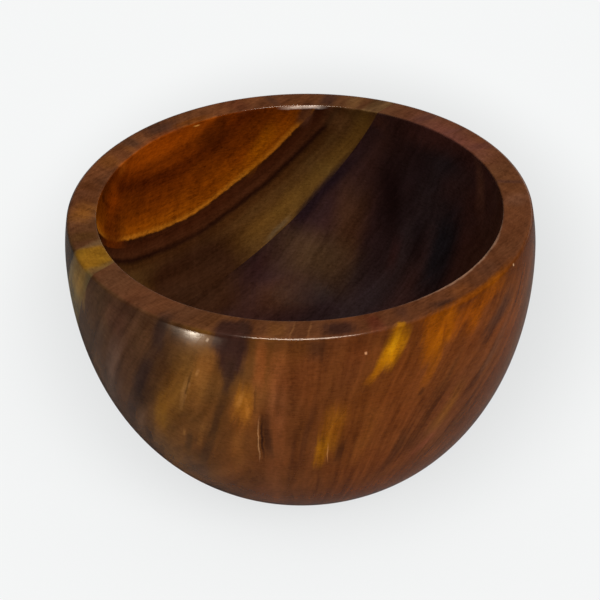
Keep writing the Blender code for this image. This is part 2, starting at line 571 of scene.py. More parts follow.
@dataclass(frozen=True)
class Lacquer:
    """Satin finish over the wood, thinner in the hollow and on the flat of the rim."""

    roughness: float = 0.5
    shine: float = 0.0
    coat: float = 0.85
    hollow_coat: float = 0.012
    rim_coat: float = 0.3
    coat_bend: float = 1.2
    coat_roughness: float = 0.17
    grain_depth: float = 0.00003
    grain_strength: float = 0.6


@dataclass(frozen=True)
class Borders:
    """Stretches of the path over which the look changes, in metres from the rim's inner or outer edge."""

    inner_hollow: Limits = (-0.0006, 0.0004)
    inner_rim: Limits = (-0.0004, 0.0006)
    inner_top: Limits = (0.0008, 0.002)
    inner_coat: Limits = (-0.0025, -0.001)
    outer_rim: Limits = (-0.0008, 0.0006)
    outer_top: Limits = (-0.0028, -0.0014)
    # The next two stretches hold the painted shade under the rim's outer edge: it comes in over the first
    # and fades out over the second.
    outer_shade: Limits = (-0.0006, 0.0014)
    outer_light: Limits = (0.002, 0.008)


@dataclass
class Dresser:
    """Makes the material of each board.

    The leaning grain is weaker in the hollow and on the rim. A painted shade darkens the wood just under the
    rim's outer edge.
    Boards past one place along the stack have their chart centred on its back end, and the others on the
    front.
    """

    nodes: WoodNodes
    lacquer: Lacquer
    borders: Borders
    figure: FigureAndPaintedLight
    hollow_lean: float = 0.3
    rim_lean: float = 0.4
    painted_edge_shade: float = 0.76
    back_place: float = -0.01
    reach_steps: int = 24

    def side_of(self, low: float) -> float:
        """Azimuth that a board's chart is centred on: its own end of the stack."""
        return self.nodes.turn if low > self.back_place else self.nodes.turn - 180.0

    def arc_of(self, azimuth: float, facing: float) -> float:
        """Arc of an azimuth on the chart that faces another, in millimetres."""
        return math.radians((azimuth - facing + 180.0) % 360.0 - 180.0) * self.nodes.arc

    def path_of(self, mark: Mark, side: Side) -> float:
        """Path of a mark's centre, in millimetres."""
        return {Side.OUTSIDE: mark.depth, Side.RIM: -mark.depth,
                Side.HOLLOW: -self.nodes.form.rim_wall / MILLIMETRE - mark.depth}[side]

    def lean_of(self, mark: Mark, side: Side) -> float:
        """Turn of a mark on the chart, in radians."""
        return math.radians(-mark.lean if side is Side.HOLLOW else mark.lean)

    def reach(self, mark: Mark, side: Side) -> Limits:
        """Least and greatest place along the stack that a mark covers.

        Points of the mark's outline are put on the form: the path gives the radius and the height by the
        half section, and the arc gives the azimuth.

        Args:
            mark: The mark.
            side: The side that it lies on.

        Returns:
            The two places, in metres from the rim's centre.
        """
        turn = np.linspace(0.0, 2.0 * math.pi, self.reach_steps)
        across, along = mark.half_width * np.cos(turn), mark.half_length * np.sin(turn)
        lean = self.lean_of(mark, side)
        arc = math.cos(lean) * across - math.sin(lean) * along
        path = (self.path_of(mark, side) + math.sin(lean) * across + math.cos(lean) * along) * MILLIMETRE
        azimuth = math.radians(mark.azimuth) + arc / self.nodes.arc
        section = self.nodes.form.section()
        radius = np.interp(path, section[:, 2], section[:, 0])
        height = np.interp(path, section[:, 2], section[:, 1])
        axis = unit(self.nodes.turn, self.nodes.tilt)
        places = radius * (axis.x * np.cos(azimuth) + axis.y * np.sin(azimuth))
        places = places + axis.z * (height - self.nodes.form.height)
        return float(places.min()), float(places.max())

    def marks_on(self, name: str, low: float, high: float) -> list[tuple[Side, Mark]]:
        """Marks that lie on a board: those that name it, and those without names that reach into it.

        Args:
            name: Name of the board.
            low: Place of its lower face along the stack.
            high: Place of its upper face.

        Returns:
            Sides and marks, in the order in which they are laid.
        """
        chosen = []
        for side, marks in self.figure.items():
            for mark in marks:
                least, greatest = self.reach(mark, side)
                if name in mark.boards or not mark.boards and least < high and greatest > low:
                    chosen.append((side, mark))
        return chosen

    def coat(self, sheet: Sheet, path: Socket, inner: Socket) -> Socket:
        """Weight of the lacquer over the surface, before the grain breaks it up.

        Args:
            sheet: Tree of the material.
            path: Path from the rim's outer edge.
            inner: Path from its inner edge.

        Returns:
            The weight.
        """
        on_top = sheet.product(sheet.smooth(inner, self.borders.inner_top),
                               sheet.smooth(path, self.borders.outer_top, 1.0, 0.0))
        wall_coat = sheet.blend(on_top, self.lacquer.coat, self.lacquer.rim_coat)
        return sheet.smooth(inner, self.borders.inner_coat, self.lacquer.hollow_coat, wall_coat)

    def material(self, name: str, wood: Wood, low: float, high: float) -> bpy.types.Material:
        """Material of one board.

        Args:
            name: Name of the board and its material.
            wood: The board's colours.
            low: Place of the board's lower face along the stack.
            high: Place of its upper face.

        Returns:
            The material.
        """
        material = bpy.data.materials.new(name)
        material.use_nodes = True
        sheet = Sheet(material.node_tree)
        nodes, borders, finish = self.nodes, self.borders, self.lacquer
        facing = self.side_of(low)
        place = sheet.add("ShaderNodeTexCoord", {}).outputs["Object"]
        path = sheet.add("ShaderNodeAttribute", {}, attribute_name=PATH).outputs["Fac"]
        inner = sheet.total(path, nodes.form.rim_wall)
        stack = sheet.use(nodes.layers, "stack", Object=place, Flow=unit(*wood.flow), Bend=wood.bend)
        chart = sheet.use(nodes.chart, "chart", Object=place, Path=path, Facing=unit(facing, 0.0),
                          Across=unit(facing + 90.0, 0.0), Upright=self.arc_of(nodes.upright, facing))
        inside = sheet.smooth(inner, borders.inner_hollow, 1.0, 0.0)
        on_rim = sheet.product(sheet.smooth(inner, borders.inner_rim),
                               sheet.smooth(path, borders.outer_rim, wood.rim_share, 0.0))
        outer_layers = sheet.ramp(stack["Place"], wood.outside)
        colour = sheet.mix(inside, outer_layers, sheet.ramp(stack["Place"], wood.hollow))
        colour = sheet.mix(on_rim, colour, paint(wood.rim))
        for side, mark in self.marks_on(name, low, high):
            colour = sheet.use(nodes.mark, mark.name, Base=colour, Chart=chart["Chart"],
                               Streak=chart["Streak"], Colour=paint(mark.colour),
                               Place=(self.arc_of(mark.azimuth, facing), self.path_of(mark, side), 0.0),
                               Turn=(0.0, 0.0, self.lean_of(mark, side)),
                               Size=(mark.half_width, mark.half_length, 1.0),
                               Strength=mark.strength, Core=mark.core, Fray=mark.fray)["Colour"]
        turned = sheet.product(sheet.blend(inside, 1.0, self.hollow_lean),
                               sheet.blend(on_rim, 1.0, self.rim_lean))
        # Painted shade: the wood is darkened in a band just under the rim's outer edge.
        below_edge = sheet.product(sheet.smooth(path, borders.outer_shade),
                                   sheet.smooth(path, borders.outer_light, 1.0, 0.0))
        grain = sheet.use(nodes.grain, "grain", Wood=stack["Wood"], Place=stack["Place"],
                          Streak=chart["Streak"], Band=chart["Band"], Stroke=chart["Stroke"],
                          Colour=colour, Contrast=wood.contrast, Turned=turned,
                          Shade=sheet.blend(below_edge, 1.0, self.painted_edge_shade))
        bump = sheet.add("ShaderNodeBump", {"Height": grain["Height"], "Distance": finish.grain_depth,
                                            "Strength": finish.grain_strength})
        weight = sheet.math("MULTIPLY", self.coat(sheet, path, inner), grain["Gloss"], clamp=True)
        sheet.fill(material.node_tree.nodes["Principled BSDF"], {
            "Base Color": grain["Colour"],
            "Roughness": sheet.total(grain["Roughness"], finish.roughness),
            "Normal": bump.outputs[0],
            "Coat Weight": weight,
            "Coat Roughness": finish.coat_roughness,
            "Coat IOR": finish.coat_bend,
            "Specular IOR Level": finish.shine,
        })
        return material


HEART_FLOW = (140.0, 22.0)
STACK_FLOW = (133.0, 30.0)

HEART_OUTSIDE: Layers = {
    -86.0: (80, 43, 22), -76.0: (91, 45, 15), -66.0: (88, 43, 12), -58.0: (88, 45, 16), -51.0: (95, 50, 21),
    -44.0: (97, 54, 20), -36.0: (89, 52, 20), -28.0: (99, 60, 23), -20.0: (100, 63, 24), -12.0: (76, 46, 22),
    -5.0: (84, 53, 30), 4.0: (74, 45, 27), 12.0: (87, 57, 33), 20.0: (82, 53, 30),
}
HEART_HOLLOW: Layers = {
    -70.0: (98, 57, 38), -45.0: (92, 56, 42), -34.0: (88, 52, 44), -26.0: (76, 48, 43), -16.0: (54, 39, 38),
    -6.0: (44, 28, 27), 2.0: (44, 25, 22), 9.0: (50, 28, 23), 14.0: (46, 27, 25), 18.0: (40, 21, 19),
    22.0: (36, 19, 17),
}
STACK_OUTSIDE: Layers = {
    11.0: (108, 87, 52), 21.5: (112, 90, 52), 24.0: (128, 104, 66), 26.0: (70, 47, 24), 29.6: (84, 55, 28),
    37.6: (90, 55, 26), 41.6: (102, 57, 20), 47.6: (78, 40, 16), 53.6: (108, 56, 16), 63.0: (112, 60, 18),
}
STACK_HOLLOW: Layers = {
    15.5: (80, 52, 22), 21.8: (86, 57, 21), 26.3: (74, 47, 20), 29.7: (60, 33, 12), 31.3: (31, 12, 5),
    32.7: (60, 29, 13), 35.1: (52, 22, 8), 36.5: (44, 18, 6), 37.1: (144, 82, 16), 38.5: (118, 56, 3),
    41.8: (104, 45, 2), 45.2: (90, 36, 2), 48.4: (76, 27, 2), 50.4: (98, 38, 2), 53.6: (120, 50, 3),
    63.0: (124, 53, 4),
}

HEART = Wood(HEART_OUTSIDE, HEART_HOLLOW, HEART_FLOW, bend=1.0, rim_share=0.75, contrast=1.1)
SAP = Wood(STACK_OUTSIDE, STACK_HOLLOW, STACK_FLOW, bend=0.25, rim_share=0.6, contrast=1.1)
AMBER = Wood(STACK_OUTSIDE, STACK_HOLLOW, STACK_FLOW, bend=0.25, rim_share=0.75, contrast=1.4)

# Boards in the order of the stack, from its front end to its back end.
BOARDS: dict[str, Wood] = {
    "front_board": HEART, "red_heart_board": HEART, "golden_heart_board": HEART, "brown_heart_board": HEART,
    "black_heart_board": HEART, "sapwood_board": SAP, "amber_board": AMBER, "amber_cap_board": AMBER,
}
BLACK_ONLY = ("black_heart_board",)
SAP_ONLY = ("sapwood_board",)
AMBER_ONLY = ("amber_board",)

# Marks of the figure: name, azimuth, depth, half width, half length, lean, colour, and then
# strength, core, fray and boards where they differ from the usual. A later mark lies over an earlier one.
# A few marks below are painted highlights and painted sheens rather than wood figure; each is noted where it
# stands.
OUTSIDE_MARKS = (
    # Left of the outside, from the yellow block to the second dark band.
    Mark("block wall", -156, 3, 8, 16, 10, (136, 100, 34), 0.8, 0.3, 0.3, SAP_ONLY),
    Mark("block edge", -152.6, 9.5, 1.7, 9, 14, (122, 90, 44), 0.75, fray=0.3, boards=BLACK_ONLY),
    Mark("left red", -139, 7, 7, 9, 15, (84, 47, 29), 0.55),
    Mark("left dark", -147, 22, 4, 15, 26, (64, 43, 32), 0.45),
    Mark("left pale", -141.5, 26, 4, 18, 26, (108, 78, 60), 0.6),
    # Painted sheen: a grey lightening on the left of the outer wall, standing in for the lacquer's grazing
    # reflection.
    Mark("left painted sheen", -147.5, 42, 7.5, 20, 30, (100, 80, 66), 0.46, 0, 0.8),
    Mark("first band top", -124.2, 5, 3.6, 12, 12, (52, 33, 25), 0.9),
    Mark("first band", -131, 25.5, 3.6, 20, 27, (52, 33, 25), 0.88),
    Mark("first band foot", -139.2, 44, 3.6, 14, 34, (58, 40, 33), 0.62, 0.1),
    Mark("left dawn", -136, 46, 3, 14, 28, (112, 78, 52), 0.4),
    Mark("gold layer", -123, 31, 6, 26, 22, (110, 69, 20), 0.85, 0.1),
    Mark("gold heart", -127, 39, 3.8, 17, 16, (120, 76, 16), 0.75),
    Mark("gold top", -114.2, 17, 4, 14, 18, (124, 75, 26), 0.8, 0.1),
    Mark("gold foot left", -131, 53, 4, 12, 26, (108, 70, 32), 0.6),
    Mark("gold crease", -117.6, 22, 0.5, 11, 16, (58, 34, 15), 0.6),
    Mark("gold ridge", -118.8, 25, 1.1, 10, 16, (148, 100, 48), 0.5),
    Mark("gold sheen", -113.4, 15, 2.4, 9, 16, (130, 82, 34), 0.45),
    Mark("gold shadow", -120, 46, 1.8, 9, 20, (62, 39, 20), 0.6),
    Mark("gold foot", -115.5, 40, 1.4, 11, 18, (122, 76, 30), 0.45),
    Mark("gold fleck", -114.6, 14.5, 0.7, 2.2, 20, (160, 110, 58), 0.4, fray=0.9),
    Mark("gold fleck", -116.9, 20.5, 0.6, 1.8, 20, (156, 106, 54), 0.35, fray=0.9),
    Mark("gold fleck", -118.3, 26, 0.5, 2.4, 20, (150, 100, 50), 0.35, fray=0.9),
    Mark("gold fleck", -120.6, 42, 0.7, 2, 20, (150, 100, 46), 0.35, fray=0.9),
    Mark("second band", -106.7, 0, 7, 9, 0, (54, 31, 24), 0.96, 0.55, 0.25),
    Mark("second band body", -106.4, 6, 5.1, 9.5, 4, (54, 31, 24), 0.96, 0.45, 0.25),
    Mark("second band waist", -106.9, 11.5, 2.9, 7, 8, (54, 32, 22), 0.95, 0.3, 0.3),
    Mark("second band point", -107.6, 17.5, 1.7, 5.5, 13, (58, 34, 20), 0.9, 0.1, 0.3),
    Mark("second band foot", -110.8, 32, 2.1, 17, 17, (62, 36, 16), 0.85),
    Mark("second band end", -116, 50, 2.4, 12, 26, (66, 41, 22), 0.65),
    Mark("foot dusk", -121.5, 62, 7, 9, 20, (66, 43, 31), 0.5),
    # Middle of the outside, from the orange patch to the golden one.
    Mark("orange edge", -99.8, 9, 2.6, 13, 6, (124, 66, 27), 0.75),
    Mark("red light", -96, 20, 4.4, 26, 6, (114, 62, 30), 0.5),
    Mark("orange patch", -103.9, 24.5, 4.6, 11, 6, (134, 78, 18), 0.92, 0.15, 0.8),
    Mark("orange glint", -104.6, 22.5, 1.1, 4.5, 20, (160, 102, 38), 0.5, fray=0.8),
    Mark("orange glint", -103, 26, 0.8, 6, -6, (156, 96, 32), 0.45, fray=0.8),
    Mark("orange line", -101.2, 22, 0.6, 9, 4, (80, 43, 17), 0.6),
    Mark("orange tail", -106.5, 42, 3.4, 14, 12, (108, 61, 20), 0.6),
    Mark("dark streak", -98.7, 37, 2.1, 15, 3, (58, 31, 15)),
    Mark("hairline shade", -100.1, 38, 0.6, 14, 4, (36, 18, 8)),
    # The pale hairline is a painted highlight along the edge of a hairline crack.
    Mark("hairline", -101, 39, 0.3, 12, 4.5, (172, 124, 78), 0.7),
    Mark("dark smudge", -87, 3.5, 3.9, 5, 0, (62, 34, 19), 0.66),
    Mark("red seam", -89.8, 36, 1.5, 24, 11, (72, 36, 15), 0.66),
    Mark("second seam", -93.5, 45, 1.2, 14, 8, (74, 38, 16), 0.5),
    Mark("third seam", -96, 20, 1.2, 14, 6, (82, 42, 18), 0.4),
    Mark("red shade", -79, 10, 5, 15, 22, (82, 38, 14), 0.55),
    Mark("golden patch", -83.8, 34.5, 5, 14.5, 12, (114, 63, 6), 0.9, 0.15, 0.7),
    Mark("golden line", -84.2, 33, 0.7, 9, 10, (86, 47, 8), 0.3),
    Mark("golden glint", -86.4, 43.5, 2.6, 10, 8, (140, 82, 0), 0.85, 0.1, 0.7),
    Mark("golden hairline", -84.8, 44.5, 0.28, 6, 2, (164, 108, 54), 0.55),
    Mark("golden shade", -82, 45, 2.2, 8.5, 12, (62, 30, 9)),
    Mark("golden wing", -76, 40, 3.4, 17, 18, (104, 55, 16), 0.5),
    # Right of the outside, from the yellow patch to the orange rim.
    Mark("orange fan", -56.6, 5, 8.6, 7.5, 8, (122, 61, 0), 0.95, 0.3, 0.7),
    Mark("fan body", -59, 9.5, 5.4, 9.5, 16, (114, 57, 0), 0.9, 0.25, 0.7),
    Mark("fan crown", -56, 2.6, 8.4, 3.2, 0, (134, 69, 0), 0.65, fray=0.7),
    Mark("fan gap", -50.8, 9.5, 0.9, 6, 15, (92, 45, 8), 0.5),
    Mark("fan tail", -59.8, 18, 2.6, 9, 26, (110, 55, 4), 0.7),
    Mark("fan glow", -57.2, 9.5, 2.2, 8, 14, (128, 66, 0), 0.4, fray=0.7),
    Mark("fan glow", -54.4, 6.5, 1.5, 6.5, 12, (132, 70, 0), 0.5, fray=0.7),
    Mark("second fan line", -56.4, 9, 0.6, 8, 12, (90, 42, 4), 0.5),
    Mark("orange rim", -42.5, 3.2, 3.8, 16, 80, (122, 60, 0), 0.93, 0.3, 0.6),
    Mark("orange wing", -46, 7, 3.6, 8.5, 42, (122, 60, 0), 0.88, 0.25, 0.6),
    Mark("yellow tail", -73, 12.5, 2.2, 7.5, 34, (138, 78, 2), 0.9, 0.1, 0.3),
    Mark("yellow patch", -69.1, 6.6, 4.2, 9.8, 32, (156, 97, 0), 0.96, 0.32),
    Mark("yellow glint", -68.8, 5.2, 1.3, 6, 30, (178, 120, 6), 0.65, fray=0.6),
    Mark("yellow shade", -64.8, 8, 1.2, 9, 18, (78, 37, 8), 0.65),
    Mark("rim shade", -37.5, 13, 4.4, 14, 60, (64, 36, 22), 0.82),
    Mark("knot", -62, 26, 1.2, 2.4, 24, (54, 26, 8), 0.7),
    Mark("upper stripe", -54.6, 23.5, 1.9, 15, 40, (72, 37, 14), 0.66),
    Mark("pale stripe", -53.4, 38, 4, 14, 32, (104, 61, 18), 0.7, 0, 0.7),
    Mark("dark stripe", -60, 40, 2.2, 21, 25, (68, 33, 11), 0.75),
    Mark("long stripe", -67, 50, 3.4, 15, 18, (66, 33, 13)),
    Mark("red stripe", -58.4, 51, 2.8, 9.5, 48, (106, 53, 30), 0.55, 0, 0.7),
    Mark("low stripe", -47, 45, 2.2, 19, 34, (70, 38, 18), 0.72),
    Mark("right stripe", -42, 28, 2, 19, 42, (70, 38, 20), 0.7),
    Mark("right glow", -38, 24, 2.4, 16, 45, (100, 60, 36), 0.5),
    # Painted sheen: a greyish brown lightening of the outer wall at the right, where the lacquer reflects at
    # a grazing angle.
    Mark("right limb painted sheen", -18, 38, 22, 44, 14, (94, 66, 44), 0.46, 0, 0.9),
    # The next three marks are painted highlights: small pale dots where the lacquer catches light.
    Mark("painted highlight dot", -76, 6.5, 0.5, 0.7, 0, (196, 140, 96), 0.6, fray=0),
    Mark("left painted highlight dot", -112, 3, 0.5, 0.9, 20, (206, 176, 146), 0.6, fray=0),
    Mark("second painted highlight dot", -29, 0.9, 0.5, 0.6, 0, (214, 172, 128), 0.8, fray=0),
)
RIM_MARKS = (
    Mark("block", -156.5, 4.7, 7.2, 7.5, 0, (130, 88, 20), 0.93, 0.65, 0.2, SAP_ONLY),
    Mark("block shade", -166.8, 4.7, 4.4, 7.5, 0, (84, 54, 24), 0.7, fray=0.3, boards=SAP_ONLY),
    Mark("rim dark back", 132, 4.6, 10, 6, 20, (66, 40, 28), 0.82),
    Mark("rim dusk back", 143.5, 4, 4.5, 6, 20, (70, 43, 28), 0.72),
    Mark("rim orange", 123, 7.8, 12, 2.4, 0, (110, 57, 15), 0.75),
    Mark("rim gold", 155, 4.7, 5.5, 6, 30, (110, 62, 24), 0.68),
    Mark("rim gold", 146.5, 6.5, 2.5, 4, 30, (104, 58, 24), 0.6),
    Mark("rim brown", 168.5, 4.7, 5, 6, 30, (80, 42, 18), 0.7),
    Mark("rim honey", -178.5, 5, 9.5, 6.5, 20, (122, 73, 27), 0.85, 0, 0.7),
    Mark("rim red back", 107, 5, 5, 7, -25, (90, 47, 28), 0.6),
    Mark("rim dark back", 97, 5, 2.4, 7, -25, (70, 42, 29), 0.6),
    Mark("rim olive", 66.8, 4.7, 3.4, 7.5, 5, (78, 53, 30), 0.75, 0.3),
    Mark("rim pale", 73, 4.7, 4, 7, 5, (108, 74, 42), 0.75),
    Mark("rim dark right", 80.8, 4.7, 4.2, 7.5, 10, (66, 40, 30)),
    Mark("rim purple", 9, 5, 1.6, 7, 15, (72, 44, 36), 0.5),
    Mark("rim purple", 29, 5, 3.6, 7, 15, (72, 43, 36), 0.6),
    Mark("rim purple", 40, 5, 1.4, 7, 15, (74, 45, 38), 0.5),
    Mark("rim purple", 51, 5, 3.4, 7, 15, (76, 46, 38), 0.55),
    Mark("rim light right", 0, 5, 6, 5, 10, (106, 67, 46), 0.55),
    Mark("rim tan", -47, 4.6, 6, 4, 0, (110, 60, 26), 0.6),
    Mark("rim dusk", -35, 5.6, 7, 4, 0, (76, 45, 28), 0.6),
    Mark("band on rim", -104, 4, 3.4, 7, -14, (56, 34, 25)),
    Mark("rim patch", -81.2, 3.6, 7.2, 4.6, 0, (52, 30, 23), 0.88, 0.3),
    Mark("rim red", -72.6, 3.6, 3.8, 6, 0, (90, 41, 25), 0.72),
    Mark("rim glow", -96, 4, 4.6, 6, 0, (110, 65, 28), 0.64),
    Mark("rim line", -92.4, 4, 0.5, 6, 12, (134, 86, 48), 0.5),
    Mark("rim line", -88.2, 4, 0.5, 6, 12, (130, 82, 46), 0.45),
    Mark("rim dash", -54, 2.9, 6, 2.4, 16, (56, 33, 23), 0.78),
    Mark("rim dark front", -64.5, 6, 3.2, 4.5, 30, (68, 40, 28), 0.62),
    Mark("orange lip", -43, 0.8, 24, 2, 0, (116, 58, 4), 0.85),
    Mark("yellow lip", -66.6, 0.3, 2, 1.6, 20, (150, 96, 2), 0.6, 0.3, 0.3),
    # Painted highlight: a pale line along the rim's inner edge at the front right.
    Mark("front inner edge painted highlight", -36, 9.1, 46, 0.8, 0, (176, 136, 108), 0.5, 0, 0.3),
)
HOLLOW_MARKS = (
    Mark("sap shade", 134, 53, 46, 14.5, 0, (42, 20, 9), 0.97, 0.4, 0.1, SAP_ONLY),
    Mark("sap glow", 95, 38, 4, 12, -40, (92, 62, 22), 0.4, 0, 0.3, SAP_ONLY),
    Mark("sap lip", 98, 46, 1.3, 9.5, -60, (104, 84, 58), 0.55, 0, 0.3, SAP_ONLY),
    Mark("amber dark", 116, 8.5, 12, 9, -25, (62, 22, 2), 0.8, 0.1, 0.3),
    Mark("amber dusk", 113.6, 2, 4.2, 5, -30, (54, 19, 2), 0.7, 0.1, 0.3),
    Mark("amber gold", 101.5, 16, 4.8, 14, -38, (134, 70, 2), 0.82, 0.1, 0.3),
    Mark("amber right", 160, 11, 9, 12, 10, (118, 48, 2), 0.8, 0.1, 0.3),
    Mark("amber flame", 137, 4, 19, 7, 0, (128, 53, 2), 0.72, 0.25, 0.3),
    Mark("amber edge", 153.5, 2, 4.5, 4, 0, (136, 64, 10), 0.6, 0.1, 0.3),
    Mark("amber foot", 163, 22, 14, 10, -8, (86, 34, 3), 0.92, fray=0.3, boards=AMBER_ONLY),
    # Painted highlight: a small pale dot on the amber just below the rim's inner edge.
    Mark("amber painted highlight dot", 122, 1.4, 2, 0.5, 0, (206, 142, 66), 0.7, 0.1, 0.3),
    Mark("sap tip", 87.4, 3.4, 4, 7.4, -18, (74, 40, 24), 0.88, 0.35, 0.3),
    Mark("sap crown", 77.5, 5.5, 7.5, 7.5, -30, (94, 58, 30), 0.62, 0, 0.4),
    Mark("black crown", 64, 3.5, 6, 6, -20, (72, 38, 26), 0.6, 0, 0.4),
    # Painted highlight: a pale strip along the far inner edge of the rim, which adds to the front window's
    # reflection there.
    Mark("lip painted highlight", 88.4, 0.7, 11, 1, 0, (235, 208, 188), 0.88, fray=0.1),
    # Painted sheen: lightens the top of the hollow's shaded right side, standing in for a veil of reflected
    # light.
    Mark("right top painted sheen", 38, 0, 34, 13, 0, (104, 58, 48), 0.72, 0, 0.3),
    Mark("black streak", 59.6, 32, 8.4, 19, 4, (26, 13, 12), 0.9, 0.1),
    Mark("second black streak", 46.5, 44, 6.5, 13, 0, (28, 16, 16), 0.6, 0.1, 0.3),
    Mark("brown glow", 73, 45, 10.5, 22, -10, (68, 41, 25), 0.87, 0.1, 0.3),
    Mark("purple edge", 83, 34, 3.4, 30, -43, (30, 17, 20), 0.92, fray=0.3),
    Mark("red streaks", 54.5, 50, 4, 9, 0, (60, 33, 30), 0.6, 0.1),
    Mark("floor brown", 136, 58, 38, 12, 0, (48, 26, 13), 0.92, 0.4, 0.2),
    # Painted sheen: a soft light patch low on the far side of the hollow, standing in for a reflection of
    # the front light.
    Mark("hollow floor painted sheen", 84, 55, 32, 12, -8, (74, 51, 29), 0.7, 0, 0.3),
    Mark("floor rust", 100, 65, 24, 6, 0, (68, 39, 20), 0.6, 0, 0.3),
    Mark("pale streak", 23.4, 10, 5.4, 17, 3, (122, 76, 58), 0.9, 0, 0.6),
    Mark("grey streak", 36, 42, 12, 25, 3, (34, 36, 40), 0.8, fray=0.3),
)
FIGURE_AND_PAINTED_LIGHT: FigureAndPaintedLight = {Side.OUTSIDE: OUTSIDE_MARKS, Side.RIM: RIM_MARKS, Side.HOLLOW: HOLLOW_MARKS}


@dataclass
class BoardStack:
    """Parallel boards that the form is turned from, counted from the front end of the stack."""

    form: TurnedForm
    boards: dict[str, Wood]
    front_board: float = 0.0215
    amber_cap: float = 0.006
    turn: float = 136.6
    tilt: float = 28.0
    glue_line: float = 0.00002
    weld: float = 1e-7
    sharp_angle: float = 18.0

    def axis(self) -> np.ndarray:
        """Direction of the stack, from the front end to the amber cap."""
        return np.array(unit(self.turn, self.tilt))

    def place(self, points: np.ndarray) -> np.ndarray:
        """Place along the stack, from the rim's centre, of points in rows of x, y and z."""
        return (points - (0.0, 0.0, self.form.height)) @ self.axis()

    def joints(self, places: np.ndarray) -> np.ndarray:
        """Places of the glue joints: the boards between the two end ones are equally thick."""
        first, last = places.min() + self.front_board, places.max() - self.amber_cap
        return np.linspace(first, last, len(self.boards) - 1)

    def cut(self, mesh: bpy.types.Mesh, low: float, high: float) -> None:
        """Trim a mesh to a board's two faces and close it there.

        Args:
            mesh: Part of the turned surface that holds the board.
            low: Place of the board's lower face along the stack, or minus infinity.
            high: Place of its upper face, or infinity.
        """
        axis = Vector(self.axis())
        faces = [(self.form.rim_centre() + axis * place, axis * side)
                 for place, side in ((low, -1.0), (high, 1.0)) if math.isfinite(place)]
        work = bmesh.new()
        work.from_mesh(mesh)
        bmesh.ops.remove_doubles(work, verts=work.verts, dist=self.weld)
        for origin, outward in faces:
            bmesh.ops.bisect_plane(work, geom=work.verts[:] + work.edges[:] + work.faces[:], dist=self.weld,
                                   plane_co=origin, plane_no=outward, clear_outer=True)
        for origin, outward in faces:
            outline = [edge for edge in work.edges if edge.is_boundary
                       and all(abs((end.co - origin).dot(outward)) < self.glue_line for end in edge.verts)]
            bmesh.ops.triangle_fill(work, edges=outline, use_beauty=False, normal=outward)
        work.to_mesh(mesh)
        work.free()

    def build(self, dresser: Dresser) -> list[bpy.types.Object]:
        """Cut the turned surface into its boards and dress them.

        Args:
            dresser: Maker of the materials.

        Returns:
            One object for each board, in the order of the stack.
        """
        points, path, quads = self.form.surface()
        places = self.place(points)
        joints = self.joints(places)
        lows = np.concatenate(((-np.inf,), joints + 0.5 * self.glue_line))
        highs = np.concatenate((joints - 0.5 * self.glue_line, (np.inf,)))
        pieces = []
        for (name, wood), low, high in zip(self.boards.items(), lows, highs):
            inside = (places[quads].max(axis=1) >= low) & (places[quads].min(axis=1) <= high)
            used, faces = np.unique(quads[inside], return_inverse=True)
            mesh = bpy.data.meshes.new(name)
            mesh.from_pydata(points[used], [], faces.reshape(-1, 4))
            kept_path = mesh.attributes.new(PATH, "FLOAT", "POINT")
            kept_path.data.foreach_set("value", path[used].astype(np.float32))
            mesh.shade_smooth()
            self.cut(mesh, low, high)
            mesh.set_sharp_from_angle(angle=math.radians(self.sharp_angle))
            mesh.materials.append(dresser.material(name, wood, low, high))
            board = put(f"turned_{name}", mesh)
            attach(board, "root")
            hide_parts(name)
            pieces.append(board)
        return pieces


@dataclass(frozen=True)
class Gleam:
    """Oval lamp that gives the lacquer its highlights, placed from the rim's centre."""

    name: str
    azimuth: float
    elevation: float
    distance: float
    width: float
    height: float
    power: float
    colour: tuple[float, float, float]


GLEAMS = (
    Gleam("front window", -90.0, 60.0, 1.0, 0.66, 0.34, 42.0, (1.0, 0.88, 0.72)),
    Gleam("left window", -134.0, -12.5, 0.3, 0.026, 0.018, 0.3, (1.0, 0.88, 0.72)),
    Gleam("left glow", -134.0, -12.5, 0.3, 0.12, 0.05, 0.14, (1.0, 0.82, 0.62)),
    Gleam("back wall", 75.0, 2.0, 1.2, 2.4, 0.4, 2.2, (1.0, 0.92, 0.82)),
)


